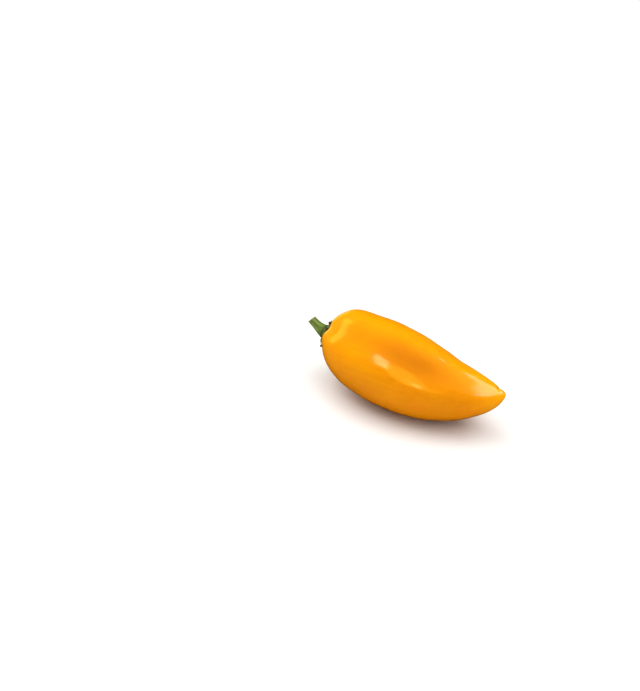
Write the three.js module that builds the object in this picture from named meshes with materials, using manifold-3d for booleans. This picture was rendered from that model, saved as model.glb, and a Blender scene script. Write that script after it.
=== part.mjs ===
import * as THREE from 'three';
import { mergeVertices } from 'three/addons/utils/BufferGeometryUtils.js';
import Module from 'manifold-3d';

// A mini sweet pepper lying on its belly: the fruit, its green calyx and its cut stem.
// Millimetres, +Z up, +X from the stem end to the tip, origin on the resting spot under the weight.

// Fruit length along X and its widest radius
const FRUIT_LENGTH = 91;
const FRUIT_RADIUS = 19.3;

// Bluntness of the two ends: the stem end is a broad shoulder, the tip is a rounded wedge
const SHOULDER = { run: 2.5, roundness: 3.15 };
const TIP = { run: 1.76, roundness: 1.66 };

// Bend of the fruit's centre line
const BOW_SIDEWAYS = 6.8;
const DROOP = 6.9;
const NOSE = { start: 0.6, sway: -0.5, lift: 5.9 };
const NECK = { end: 0.35, sway: -3.6, drop: 0.6 };

// Furrows between the three lobes: angle in degrees, depth, half width in degrees
const FURROWS = [
  { angle: 121, depth: 1.7, width: 22 },
  { angle: 8, depth: 1.2, width: 24 },
  { angle: 245, depth: 1.0, width: 24 },
];
const FURROW_START = 0.1;
const FURROW_FADE = 0.5;

// Low swells of the skin: place along the length, angle in degrees, height, and spread both ways
const SWELLS = [
  { along: 0.09, angle: 60, height: 1.1, reach: 0.07, width: 32 },
  { along: 0.24, angle: 50, height: -0.35, reach: 0.08, width: 30 },
  { along: 0.74, angle: 44, height: -0.45, reach: 0.07, width: 30 },
  { along: 0.02, angle: 145, height: 0.7, reach: 0.04, width: 22 },
  { along: 0.03, angle: 180, height: -0.5, reach: 0.05, width: 25 },
  { along: 0.06, angle: 225, height: -0.85, reach: 0.07, width: 30 },
];
const HUB_RADIUS = 5;

// Dimple that the calyx sits in, and the small nib at the tip
const DIMPLE = { depth: 1.2, radius: 6 };
const NIB = { height: 0.55, radius: 2, side: 0.8, rise: 0.2 };

// Resting spot: the belly is pressed flat here, in the frame of the fruit's centre line
const REST = new THREE.Vector3(40.5, -5.8, -21.5);

// Calyx: a wrinkled skirt that rises to a narrow neck, with thin teeth that end in knobs
const CLEARANCE = 0.3;
const SKIRT = { margin: 8.4, edge: 0.7, inner: 5.4, innerHeight: 1.7 };
const NECK_SEAT = { height: 3.2, radius: 3.1, drop: 1.5 };
const MARGIN_WAVES = [
  { count: 3, height: 0.35, phase: 1 },
  { count: 8, height: 0.2, phase: 0 },
];
const WRINKLES = [
  { count: 13, height: 0.22, phase: 0 },
  { count: 17, height: 0.13, phase: 2 },
];
const TEETH = [
  { angle: 28, tip: 12.6 },
  { angle: 100, tip: 11.2 },
  { angle: 122, tip: 9.6 },
  { angle: 168, tip: 14 },
  { angle: 222, tip: 12.4 },
  { angle: 272, tip: 13.2 },
  { angle: 324, tip: 11.6 },
];
const TOOTH = { root: 6.4, rootRadius: 0.75, threadRadius: 0.4, lobe: 0.9, lobeWidth: 11, float: 0.1 };
const KNOB = { radius: 0.66, place: 0.9, reach: 0.08, end: 1.03 };

// Stem: leaves the neck along the fruit's axis, bends upwards and ends in a slanting cut
const STEM = { start: 3.6, bent: 5.8, rise: 41, cutSlant: 16, lip: 0.1 };
const STEM_SHANK = 1.8;
const STEM_SWELL = { height: 1.75, reach: 0.33 };
const STEM_UNDERCUT = { depth: 0.8, reach: 0.07 };
const STEM_RIBS = { count: 5, height: 0.09, angle: 20, twist: 25, start: 0.1, full: 0.4 };
const CUT_START = 0.7;

// Fineness of the faceted surfaces
const FRUIT_RINGS = 42;
const FRUIT_SIDES = 66;
const CALYX_SIDES = 78;
const NECK_RINGS = [0, 0.3, 0.6];
const SKIRT_RINGS = [0, 0.22, 0.45, 0.7, 1];
const UNDERSIDE_RINGS = [1, 0.75, 0.5, 0.25];
const TOOTH_RINGS = 9;
const TOOTH_SIDES = 6;
const STEM_RINGS = 17;
const STEM_SIDES = 30;
const PROFILE_SAMPLES = 3000;

const UP = new THREE.Vector3(0, 0, 1);
const FULL_TURN = 2 * Math.PI;

// A smooth bump around zero that falls off as a bell
function bell(distance) {
  return Math.exp(-distance * distance);
}

// The signed difference of two angles in radians, within half a turn
function turnBetween(a, b) {
  return THREE.MathUtils.euclideanModulo(a - b + Math.PI, FULL_TURN) - Math.PI;
}

// Radius of the fruit at a place along its length from 0 to 1, before scaling
function girth(along) {
  const shoulder = 1 - Math.pow(1 - along, SHOULDER.run);
  const tip = 1 - Math.pow(along, TIP.run);
  return Math.pow(shoulder, 1 / SHOULDER.roundness) * Math.pow(tip, 1 / TIP.roundness);
}

// The fruit's profile sampled densely, with the length walked along it from the stem end
function sampleProfile() {
  const places = [];
  for (let i = 0; i <= PROFILE_SAMPLES; i += 1) {
    places.push((1 - Math.cos((Math.PI * i) / PROFILE_SAMPLES)) / 2);
  }
  const girths = places.map(girth);
  const widest = Math.max(...girths);
  const samples = [];
  let walked = 0;
  for (let i = 0; i <= PROFILE_SAMPLES; i += 1) {
    const sample = { along: places[i], radius: (FRUIT_RADIUS * girths[i]) / widest };
    if (i > 0) {
      const last = samples[i - 1];
      walked += Math.hypot(FRUIT_LENGTH * (sample.along - last.along), sample.radius - last.radius);
    }
    samples.push({ ...sample, walked });
  }
  return samples;
}

const PROFILE = sampleProfile();
const PROFILE_LENGTH = PROFILE[PROFILE_SAMPLES].walked;

// Place and radius on the profile after walking a distance from the stem end, and the outward slope there
function profileAt(distance) {
  const walked = THREE.MathUtils.clamp(distance, 0, PROFILE_LENGTH);
  let low = 0;
  let high = PROFILE_SAMPLES;
  while (high - low > 1) {
    const middle = (low + high) >> 1;
    if (PROFILE[middle].walked <= walked) {
      low = middle;
    } else {
      high = middle;
    }
  }
  const from = PROFILE[low];
  const to = PROFILE[high];
  const share = (walked - from.walked) / (to.walked - from.walked);
  const forward = FRUIT_LENGTH * (to.along - from.along);
  const outward = to.radius - from.radius;
  const step = Math.hypot(forward, outward);
  return {
    along: THREE.MathUtils.lerp(from.along, to.along, share),
    radius: THREE.MathUtils.lerp(from.radius, to.radius, share),
    forward: forward / step,
    outward: outward / step,
  };
}

// Centre line of the fruit and its direction at a place along the length
function centreLine(along) {
  const nose = Math.max(along - NOSE.start, 0) / (1 - NOSE.start);
  const neck = Math.max(NECK.end - along, 0) / NECK.end;
  const arch = 4 * along * (1 - along);
  const point = new THREE.Vector3(
    FRUIT_LENGTH * along,
    -BOW_SIDEWAYS * arch + NOSE.sway * nose ** 2 + NECK.sway * neck ** 2,
    -DROOP * along + NOSE.lift * nose ** 2 - NECK.drop * neck ** 2,
  );
  const noseSlope = (2 * nose) / (1 - NOSE.start);
  const neckSlope = (-2 * neck) / NECK.end;
  const direction = new THREE.Vector3(
    FRUIT_LENGTH,
    -BOW_SIDEWAYS * 4 * (1 - 2 * along) + NOSE.sway * noseSlope + NECK.sway * neckSlope,
    -DROOP + NOSE.lift * noseSlope - NECK.drop * neckSlope,
  ).normalize();
  return { point, direction };
}

// Two crosswise directions square to an axis: side lies level, rise points up
function crossFrame(axis) {
  const side = new THREE.Vector3().crossVectors(UP, axis).normalize();
  const rise = new THREE.Vector3().crossVectors(axis, side);
  return { side, rise };
}

// The direction at an angle round an axis, counted from level towards up
function spoke(frame, angle) {
  const direction = frame.side.clone().multiplyScalar(Math.cos(angle));
  return direction.addScaledVector(frame.rise, Math.sin(angle));
}

// Height of lobes, swells, dimple and nib over the plain round skin
function relief(along, radius, angle) {
  let furrow = 0;
  for (const item of FURROWS) {
    const away = turnBetween(angle, THREE.MathUtils.degToRad(item.angle));
    furrow -= item.depth * bell(away / THREE.MathUtils.degToRad(item.width));
  }
  furrow *= Math.exp(-Math.max(along - FURROW_START, 0) / FURROW_FADE) * (1 - along ** 4);
  let swell = 0;
  for (const item of SWELLS) {
    const away = turnBetween(angle, THREE.MathUtils.degToRad(item.angle));
    const round = bell(away / THREE.MathUtils.degToRad(item.width));
    swell += item.height * round * bell((along - item.along) / item.reach);
  }
  let height = (furrow + swell) * (1 - bell(radius / HUB_RADIUS));
  if (along < 0.5) {
    height -= DIMPLE.depth * bell(radius / DIMPLE.radius);
  } else {
    const side = radius * Math.cos(angle) - NIB.side;
    const rise = radius * Math.sin(angle) - NIB.rise;
    height += NIB.height * bell(Math.hypot(side, rise) / NIB.radius);
  }
  return height;
}

// A point over the fruit's skin at a distance walked from the stem end and an angle round the axis
function overSkin(distance, angle, lift) {
  const profile = profileAt(distance);
  const { point, direction } = centreLine(profile.along);
  const out = spoke(crossFrame(direction), angle);
  const height = relief(profile.along, profile.radius, angle) + lift;
  return point
    .addScaledVector(out, profile.radius + height * profile.forward)
    .addScaledVector(direction, -height * profile.outward);
}

// A closed surface through rings of equal length, from a first pole to a last pole, facing outwards
// when the rings run along an axis and each ring turns from side to rise round it
function closedSurface(firstPole, rings, lastPole) {
  const sides = rings[0].length;
  const points = [firstPole, ...rings.flat(), lastPole];
  const last = points.length - 1;
  const faces = [];
  for (let side = 0; side < sides; side += 1) {
    const next = (side + 1) % sides;
    faces.push(0, 1 + next, 1 + side);
    for (let ring = 0; ring + 1 < rings.length; ring += 1) {
      const near = 1 + ring * sides;
      const far = near + sides;
      faces.push(near + side, near + next, far + next);
      faces.push(near + side, far + next, far + side);
    }
    const end = last - sides;
    faces.push(last, end + side, end + next);
  }
  const geometry = new THREE.BufferGeometry().setFromPoints(points);
  geometry.setIndex(faces);
  return geometry;
}

// Angles of the sides of a ring
function ringAngles(sides) {
  return Array.from({ length: sides }, (_, side) => (FULL_TURN * side) / sides);
}

// The fruit: one closed skin, pressed flat where it rests
function makeFruit() {
  const angles = ringAngles(FRUIT_SIDES);
  const rings = [];
  for (let ring = 1; ring < FRUIT_RINGS; ring += 1) {
    const distance = (PROFILE_LENGTH * ring) / FRUIT_RINGS;
    rings.push(angles.map((angle) => overSkin(distance, angle, 0)));
  }
  for (const point of rings.flat()) {
    point.z = Math.max(point.z, REST.z);
  }
  return closedSurface(overSkin(0, 0, 0), rings, overSkin(PROFILE_LENGTH, 0, 0));
}

// Where the neck of the calyx ends and the stem begins, and the way the stem leaves it
function neckSeat() {
  const { point, direction } = centreLine(0);
  const outward = direction.negate();
  return { centre: point.addScaledVector(outward, NECK_SEAT.height), outward };
}

// A sum of waves round the axis
function waves(list, angle) {
  return list.reduce((sum, wave) => sum + wave.height * Math.sin(wave.count * angle + wave.phase), 0);
}

// Distance from the middle of the calyx to its margin, which reaches out at each tooth
function marginAt(angle) {
  let reach = SKIRT.margin + waves(MARGIN_WAVES, angle);
  for (const tooth of TEETH) {
    const away = turnBetween(angle, THREE.MathUtils.degToRad(tooth.angle));
    reach += TOOTH.lobe * bell(away / THREE.MathUtils.degToRad(TOOTH.lobeWidth));
  }
  return reach;
}

// Height of the wrinkles that run out from the neck
function wrinkle(angle, share) {
  return waves(WRINKLES, angle) * Math.sin(Math.PI * share);
}

// The calyx's cap: down the neck, out over the skirt, round its margin and back underneath
function makeCap() {
  const angles = ringAngles(CALYX_SIDES);
  const seat = neckSeat();
  const frame = crossFrame(seat.outward.clone().negate());
  const skirtTop = (share, angle) => {
    const reach = THREE.MathUtils.lerp(SKIRT.inner, marginAt(angle) - SKIRT.edge / 2, share);
    const height = THREE.MathUtils.lerp(SKIRT.innerHeight, SKIRT.edge, Math.sqrt(share));
    return overSkin(reach, angle, CLEARANCE + height + wrinkle(angle, share));
  };
  const neck = (share, angle) => {
    const top = seat.centre.clone().addScaledVector(spoke(frame, angle), NECK_SEAT.radius);
    const start = skirtTop(0, angle);
    const pull = top.clone().addScaledVector(seat.outward, -NECK_SEAT.drop);
    return new THREE.QuadraticBezierCurve3(top, pull, start).getPoint(share);
  };
  const under = (share, angle) => overSkin((marginAt(angle) - SKIRT.edge / 2) * share, angle, CLEARANCE);
  const rings = [
    ...NECK_RINGS.map((share) => angles.map((angle) => neck(share, angle))),
    ...SKIRT_RINGS.map((share) => angles.map((angle) => skirtTop(share, angle))),
    angles.map((angle) => overSkin(marginAt(angle), angle, CLEARANCE + SKIRT.edge / 2)),
    ...UNDERSIDE_RINGS.map((share) => angles.map((angle) => under(share, angle))),
  ];
  return closedSurface(seat.centre, rings, overSkin(0, 0, CLEARANCE));
}

// One tooth: a thread that follows the skin from the skirt to a small knob
function makeTooth(tooth) {
  const angle = THREE.MathUtils.degToRad(tooth.angle);
  const rings = [];
  const axisPoint = (share) => {
    const distance = THREE.MathUtils.lerp(TOOTH.root, tooth.tip, share);
    return overSkin(distance, angle, CLEARANCE + TOOTH.float + toothRadius(share));
  };
  for (let ring = TOOTH_RINGS; ring >= 0; ring -= 1) {
    const share = ring / TOOTH_RINGS;
    const centre = axisPoint(share);
    const axis = axisPoint(share - 0.01).sub(axisPoint(share + 0.01)).normalize();
    const frame = crossFrame(axis);
    const radius = toothRadius(share);
    rings.push(ringAngles(TOOTH_SIDES).map((turn) => (
      centre.clone().addScaledVector(spoke(frame, turn), radius)
    )));
  }
  return closedSurface(axisPoint(KNOB.end), rings, axisPoint(0));
}

// Radius of a tooth along its length: broad root, thin thread, round knob
function toothRadius(share) {
  const root = (TOOTH.rootRadius - TOOTH.threadRadius) * Math.max(1 - 2 * share, 0);
  const knob = (KNOB.radius - TOOTH.threadRadius) * bell((share - KNOB.place) / KNOB.reach);
  return TOOTH.threadRadius + root + knob;
}

// Radius of the stem at a share of its length: undercut foot, swollen knuckle, slim shank, slight lip
function stemRadius(share) {
  const swell = STEM_SWELL.height * bell(share / STEM_SWELL.reach);
  const undercut = STEM_UNDERCUT.depth * bell(share / STEM_UNDERCUT.reach);
  return STEM_SHANK + swell - undercut + STEM.lip * share ** 4;
}

// The stem: a ribbed stalk with a swollen foot on the neck of the calyx
function makeStem() {
  const seat = neckSeat();
  const foot = seat.centre.addScaledVector(seat.outward, CLEARANCE);
  const bend = foot.clone().addScaledVector(seat.outward, STEM.start);
  const level = new THREE.Vector3(seat.outward.x, seat.outward.y, 0).normalize();
  const rise = THREE.MathUtils.degToRad(STEM.rise);
  const risen = level.multiplyScalar(Math.cos(rise)).addScaledVector(UP, Math.sin(rise));
  const end = bend.clone().addScaledVector(risen, STEM.bent);
  const line = new THREE.QuadraticBezierCurve3(foot, bend, end);
  const slant = Math.tan(THREE.MathUtils.degToRad(STEM.cutSlant));
  const rings = [];
  for (let ring = STEM_RINGS; ring >= 0; ring -= 1) {
    const share = ring / STEM_RINGS;
    const centre = line.getPoint(share);
    const outward = line.getTangent(share);
    const frame = crossFrame(outward.clone().negate());
    const radius = stemRadius(share);
    const ribbed = STEM_RIBS.height * THREE.MathUtils.smoothstep(share, STEM_RIBS.start, STEM_RIBS.full);
    const turned = THREE.MathUtils.degToRad(STEM_RIBS.angle + STEM_RIBS.twist * share);
    const slanted = slant * THREE.MathUtils.smoothstep(share, CUT_START, 1);
    rings.push(ringAngles(STEM_SIDES).map((angle) => {
      const reach = radius * (1 + ribbed * Math.cos(STEM_RIBS.count * (angle - turned)));
      const point = centre.clone().addScaledVector(spoke(frame, angle), reach);
      return point.addScaledVector(outward, radius * Math.sin(angle) * slanted);
    }));
  }
  return closedSurface(end, rings, foot);
}

const wasm = await Module();
wasm.setup();

// A closed geometry as a solid that can be joined
function toSolid(geometry) {
  const merged = mergeVertices(geometry);
  return new wasm.Manifold(new wasm.Mesh({
    numProp: 3,
    vertProperties: merged.attributes.position.array,
    triVerts: new Uint32Array(merged.index.array),
  }));
}

// A joined solid back as a geometry
function toGeometry(solid) {
  const mesh = solid.getMesh();
  const geometry = new THREE.BufferGeometry();
  geometry.setAttribute('position', new THREE.BufferAttribute(new Float32Array(mesh.vertProperties), 3));
  geometry.setIndex(Array.from(mesh.triVerts));
  return geometry;
}

// The calyx: its cap with every tooth grown into it
function makeCalyx() {
  let solid = toSolid(makeCap());
  for (const tooth of TEETH) {
    solid = solid.add(toSolid(makeTooth(tooth)));
  }
  return toGeometry(solid);
}

const SKIN_FINISH = { color: 0xffa900, roughness: 0.24, metalness: 0 };
const CALYX_FINISH = { color: 0x4f6f22, roughness: 0.6, metalness: 0 };
const STEM_FINISH = { color: 0x6a7c33, roughness: 0.5, metalness: 0 };

// A named piece, moved so that the origin lies on the resting spot
function piece(name, geometry, finish) {
  geometry.translate(-REST.x, -REST.y, -REST.z);
  geometry.computeVertexNormals();
  const mesh = new THREE.Mesh(geometry, new THREE.MeshStandardMaterial(finish));
  mesh.name = name;
  return mesh;
}

const pepper = new THREE.Group();
pepper.add(piece('fruit', makeFruit(), SKIN_FINISH));
pepper.add(piece('calyx', makeCalyx(), CALYX_FINISH));
pepper.add(piece('stem', makeStem(), STEM_FINISH));

export default pepper;
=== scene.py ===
"""Dresses a mini sweet pepper: a waxy yellow-orange fruit, its wrinkled calyx and its short ribbed stalk."""

import logging
import math
from dataclasses import dataclass, field
from enum import Enum
from typing import NamedTuple

import bpy
import numpy as np
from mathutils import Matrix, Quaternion, Vector


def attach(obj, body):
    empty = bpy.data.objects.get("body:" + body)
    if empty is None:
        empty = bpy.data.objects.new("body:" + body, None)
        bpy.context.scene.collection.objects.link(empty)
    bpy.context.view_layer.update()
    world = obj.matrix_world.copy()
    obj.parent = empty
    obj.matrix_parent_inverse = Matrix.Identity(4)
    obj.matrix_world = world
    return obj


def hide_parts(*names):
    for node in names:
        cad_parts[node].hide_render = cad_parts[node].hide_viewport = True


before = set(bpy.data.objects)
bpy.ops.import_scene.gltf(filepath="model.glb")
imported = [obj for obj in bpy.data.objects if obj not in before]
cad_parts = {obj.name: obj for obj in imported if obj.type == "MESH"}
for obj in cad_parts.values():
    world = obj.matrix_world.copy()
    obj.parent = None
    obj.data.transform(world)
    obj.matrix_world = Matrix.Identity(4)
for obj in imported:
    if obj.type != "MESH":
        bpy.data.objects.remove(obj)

LOG = logging.getLogger("mini_sweet_pepper")
MM = 0.001
FULL_TURN = 2 * math.pi
UP = np.array([0.0, 0.0, 1.0])
SMOOTHING_FACTOR = 0.5

Colour = tuple[float, float, float, float]
Span = tuple[float, float]
Socket = bpy.types.NodeSocket


class Slot(Enum):
    """The material slots of the record."""

    SKIN = "pepper_skin"
    CALYX = "calyx_green"
    STEM = "stem_green"


class MixSocket(Enum):
    """The numbers of the sockets of a Mix node that lays colours."""

    SHARE = 0
    UNDER = 6
    OVER = 7
    RESULT = 2


def bell(distance: np.ndarray) -> np.ndarray:
    """Returns a smooth bump round zero: e to the power of minus the square."""
    return np.exp(-np.square(distance))


def turn_between(a: np.ndarray, b: float) -> np.ndarray:
    """Returns the signed difference of two angles in radians, within half a turn."""
    return (a - b + math.pi) % FULL_TURN - math.pi


def smooth_step(value: np.ndarray, start: float, end: float) -> np.ndarray:
    """Returns 0 before start and 1 after end, with the cubic 3t^2 - 2t^3 between them."""
    share = np.clip((value - start) / (end - start), 0, 1)
    return share * share * (3 - 2 * share)


def unit(vectors: np.ndarray) -> np.ndarray:
    """Returns each vector of the last axis at length 1."""
    return vectors / np.linalg.norm(vectors, axis=-1, keepdims=True)


def cross_frame(axis: np.ndarray) -> tuple[np.ndarray, np.ndarray]:
    """Returns two directions square to each axis: side = up x axis, level, and rise = axis x side."""
    side = unit(np.cross(UP, axis))
    return side, np.cross(axis, side)


def spoke(side: np.ndarray, rise: np.ndarray, angle: np.ndarray) -> np.ndarray:
    """Returns the direction side cos(angle) + rise sin(angle)."""
    return side * np.cos(angle)[..., None] + rise * np.sin(angle)[..., None]


def ring_angles(sides: int) -> np.ndarray:
    """Returns the angles of a ring's sides, evenly round a full turn."""
    return np.arange(sides) * (FULL_TURN / sides)


class Patch(NamedTuple):
    """A soft patch of the skin: place along the length, angle, strength, and spread along and in degrees."""

    along: float
    angle: float
    strength: float
    reach: float
    width: float

    def over(self, along: np.ndarray, angle: np.ndarray) -> np.ndarray:
        """Returns its strength in its middle, fading as a bell both ways."""
        away = turn_between(angle, math.radians(self.angle))
        return self.strength * bell(away / math.radians(self.width)) * bell((along - self.along) / self.reach)


class Furrow(NamedTuple):
    """A furrow between two lobes: its angle, depth and half width, in degrees and millimetres."""

    angle: float
    depth: float
    width: float


class Wave(NamedTuple):
    """One wave of an uneven surface: height, whole turns round the axis, phase, and radians along the way."""

    height: float
    turns: int
    phase: float = 0.0
    rate: float = 0.0


def waves(parts: tuple[Wave, ...], angle: np.ndarray, along: np.ndarray | float = 0.0) -> np.ndarray:
    """Sums waves of the form height sin(rate along + turns angle + phase).

    Args:
        parts: the waves.
        angle: radians round the axis.
        along: the way along, in the unit that the rates are given for.

    Returns:
        The sum at each place.
    """
    total = np.zeros(np.broadcast(angle, along).shape)
    for part in parts:
        total = total + part.height * np.sin(part.rate * along + part.turns * angle + part.phase)
    return total


class Crest(NamedTuple):
    """A wave over a plane: radians per millimetre along and across, its phase, and the sway of its crests."""

    rate: float
    lean: float = 0.0
    phase: float = 0.0
    sway: float = 0.0
    sway_rate: float = 0.0

    def over(self, along: np.ndarray, across: np.ndarray) -> np.ndarray:
        """Returns sin(rate along + lean across + phase + sway sin(sway_rate across))."""
        sway = self.sway * np.sin(self.sway_rate * across)
        return np.sin(self.rate * along + self.lean * across + self.phase + sway)


@dataclass(frozen=True)
class FruitForm:
    """The fruit's surface in millimetres, the same form as the frame's solid, with finer relief.

    The profile is (1 - (1-t)^a)^(1/b) (1 - t^c)^(1/d) with t from 0 at the stem end to 1 at the tip,
    scaled to the widest radius and carried round a bent centre line.
    """

    length: float = 91.0
    radius: float = 19.3
    shoulder_run: float = 2.5
    shoulder_roundness: float = 3.15
    tip_run: float = 1.76
    tip_roundness: float = 1.66
    halfway: float = 0.5
    bow: float = 6.8
    droop: float = 6.9
    nose_start: float = 0.6
    nose_sway: float = -0.5
    nose_lift: float = 5.9
    neck_end: float = 0.35
    neck_sway: float = -3.6
    neck_drop: float = 0.6
    furrows: tuple[Furrow, ...] = (Furrow(121, 1.7, 22), Furrow(8, 1.2, 24), Furrow(245, 1.0, 24))
    furrow_start: float = 0.1
    furrow_fade: float = 0.5
    swells: tuple[Patch, ...] = (
        Patch(0.09, 60, 1.1, 0.07, 32),
        Patch(0.24, 50, -0.35, 0.08, 30),
        Patch(0.74, 44, -0.45, 0.07, 30),
        Patch(0.02, 145, 0.7, 0.04, 22),
        Patch(0.03, 180, -0.5, 0.05, 25),
        Patch(0.06, 225, -0.85, 0.07, 30),
        Patch(0.43, 139, 0.34, 0.075, 24),
        Patch(0.66, 151, 0.2, 0.05, 20),
        Patch(0.53, 116, -0.3, 0.13, 20),
        Patch(0.025, 112, 0.8, 0.035, 20),
    )
    hub_radius: float = 5.0
    dimple_depth: float = 1.2
    dimple_radius: float = 6.0
    nib_height: float = 0.7
    nib_radius: float = 2.1
    nib_side: float = 0.9
    nib_rise: float = 0.8
    notch_angle: float = 45.0
    notch_spread: float = 50.0
    notch_depth: float = 0.6
    notch_radius: float = 2.5
    notch_width: float = 0.6
    rest: tuple[float, float, float] = (40.5, -5.8, -21.5)
    rest_softness: float = 0.05
    ripples: tuple[Wave, ...] = (
        Wave(0.05, 3, rate=1 / 3.1),
        Wave(0.04, -5, 1, 1 / 4.7),
        Wave(0.03, 8, 2, 1 / 2.3),
        Wave(0.035, 2, 4, 1 / 7.9),
    )
    samples: int = 4000
    table: dict[str, np.ndarray] = field(default_factory=dict, compare=False)

    def __post_init__(self) -> None:
        """Samples the profile, with the length walked along it from the stem end."""
        along = (1 - np.cos(np.linspace(0, math.pi, self.samples + 1))) / 2
        shoulder = 1 - (1 - along) ** self.shoulder_run
        tip = 1 - along ** self.tip_run
        girth = shoulder ** (1 / self.shoulder_roundness) * tip ** (1 / self.tip_roundness)
        radius = self.radius * girth / girth.max()
        forward = np.diff(self.length * along)
        outward = np.diff(radius)
        step = np.hypot(forward, outward)
        walked = np.concatenate([[0.0], np.cumsum(step)])
        middles = (walked[:-1] + walked[1:]) / 2
        self.table.update(
            along=along, radius=radius, walked=walked, middles=middles,
            forward=forward / step, outward=outward / step,
        )

    @property
    def walk(self) -> float:
        """The length of the profile from pole to pole, in millimetres."""
        return float(self.table["walked"][-1])

    def along_at(self, walked: np.ndarray) -> np.ndarray:
        """Returns the place along the length, from 0 to 1, at a distance walked over the skin."""
        return np.interp(walked, self.table["walked"], self.table["along"])

    def centre_line(self, along: np.ndarray) -> tuple[np.ndarray, np.ndarray]:
        """Gives the bent centre line: a parabolic bow and droop, with squared sways at nose and neck.

        Args:
            along: places along the length, from 0 to 1.

        Returns:
            The points and the unit directions there.
        """
        nose = np.maximum(along - self.nose_start, 0) / (1 - self.nose_start)
        neck = np.maximum(self.neck_end - along, 0) / self.neck_end
        nose_slope = 2 * nose / (1 - self.nose_start)
        neck_slope = -2 * neck / self.neck_end
        sideways = -self.bow * 4 * along * (1 - along) + self.nose_sway * nose**2 + self.neck_sway * neck**2
        upwards = -self.droop * along + self.nose_lift * nose**2 - self.neck_drop * neck**2
        turn_side = self.nose_sway * nose_slope + self.neck_sway * neck_slope - self.bow * 4 * (1 - 2 * along)
        turn_up = -self.droop + self.nose_lift * nose_slope - self.neck_drop * neck_slope
        point = np.stack([self.length * along, sideways, upwards], -1)
        direction = np.stack([np.full_like(along, self.length), turn_side, turn_up], -1)
        return point, unit(direction)

    def furrow_depth(self, along: np.ndarray, angle: np.ndarray) -> np.ndarray:
        """Gives the depth of the furrows: bells round the axis that fade towards the tip.

        Args:
            along: places along the length, from 0 to 1.
            angle: radians round the axis.

        Returns:
            The depth in millimetres.
        """
        depth = np.zeros(np.broadcast(along, angle).shape)
        for furrow in self.furrows:
            away = turn_between(angle, math.radians(furrow.angle))
            depth = depth + furrow.depth * bell(away / math.radians(furrow.width))
        fade = np.exp(-np.maximum(along - self.furrow_start, 0) / self.furrow_fade)
        return depth * fade * (1 - along**4)

    def relief(self, along: np.ndarray, radius: np.ndarray, angle: np.ndarray) -> np.ndarray:
        """Gives the height over the plain round skin: swells less furrows and dimple, with the nib.

        The nib is a bell off the axis, and its notch a ring of a bell round it on one side.

        Args:
            along: places along the length, from 0 to 1.
            radius: the plain skin's distance from the centre line there.
            angle: radians round the axis.

        Returns:
            The height in millimetres.
        """
        height = -self.furrow_depth(along, angle)
        for swell in self.swells:
            height = height + swell.over(along, angle)
        height = height * (1 - bell(radius / self.hub_radius))
        from_nib = np.hypot(radius * np.cos(angle) - self.nib_side, radius * np.sin(angle) - self.nib_rise)
        nib = self.nib_height * bell(from_nib / self.nib_radius)
        notch = self.notch_depth * bell((from_nib - self.notch_radius) / self.notch_width)
        off_notch = turn_between(angle, math.radians(self.notch_angle))
        notch = notch * bell(off_notch / math.radians(self.notch_spread))
        dimple = self.dimple_depth * bell(radius / self.dimple_radius)
        return height + np.where(along < self.halfway, -dimple, nib - notch)

    def ripple(self, distance: np.ndarray, angle: np.ndarray) -> np.ndarray:
        """Returns faint unevenness: crossed waves that close round the axis and fade at both poles."""
        quiet = 1 - bell(np.minimum(distance, self.walk - distance) / self.dimple_radius)
        return waves(self.ripples, angle, distance) * quiet

    def over(self, distance: np.ndarray, angle: np.ndarray, lift: np.ndarray | float = 0.0) -> np.ndarray:
        """Gives points over the skin.

        Args:
            distance: millimetres walked over the skin from the stem end's middle.
            angle: radians round the axis, from level towards up.
            lift: height over the skin in millimetres.

        Returns:
            Points in millimetres in the row's frame.
        """
        distance, angle, lift = np.broadcast_arrays(distance, angle, lift)
        table = self.table
        along = self.along_at(distance)
        radius = np.interp(distance, table["walked"], table["radius"])
        forward = np.interp(distance, table["middles"], table["forward"])
        outward = np.interp(distance, table["middles"], table["outward"])
        point, direction = self.centre_line(along)
        side, rise = cross_frame(direction)
        height = self.relief(along, radius, angle) + lift
        out = spoke(side, rise, angle) * (radius + height * forward)[..., None]
        return point + out - direction * (height * outward)[..., None] - np.array(self.rest)

    def seat(self, height: float) -> tuple[np.ndarray, np.ndarray]:
        """Returns the point on the axis at a height over the stem end, and the way out along the axis."""
        point, direction = self.centre_line(np.array(0.0))
        return point - direction * height - np.array(self.rest), -direction


class Grid(NamedTuple):
    """Vertices and faces of one closed surface, in millimetres."""

    points: np.ndarray
    faces: list[list[int]]


def closed_grid(first: np.ndarray, rings: np.ndarray, last: np.ndarray) -> Grid:
    """Joins rings of equal length into a closed surface with a fan at each pole, facing outwards.

    Args:
        first: the pole before the first ring.
        rings: an array of rings by sides by three, turning from side to rise round the axis.
        last: the pole after the last ring.

    Returns:
        The closed surface.
    """
    count, sides = rings.shape[:2]
    points = np.concatenate([np.reshape(first, (1, 3)), rings.reshape(-1, 3), np.reshape(last, (1, 3))])
    here = np.arange(sides)
    beyond = (here + 1) % sides
    starts = 1 + sides * np.arange(count - 1)[:, None]
    quads = np.stack([starts + here, starts + beyond, starts + sides + beyond, starts + sides + here], -1)
    end = 1 + sides * (count - 1)
    tip = np.full(sides, len(points) - 1)
    fan = np.stack([np.zeros(sides, int), 1 + beyond, 1 + here], -1)
    last_fan = np.stack([tip, end + here, end + beyond], -1)
    faces = fan.tolist() + quads.reshape(-1, 4).tolist() + last_fan.tolist()
    return Grid(points, faces)


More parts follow.
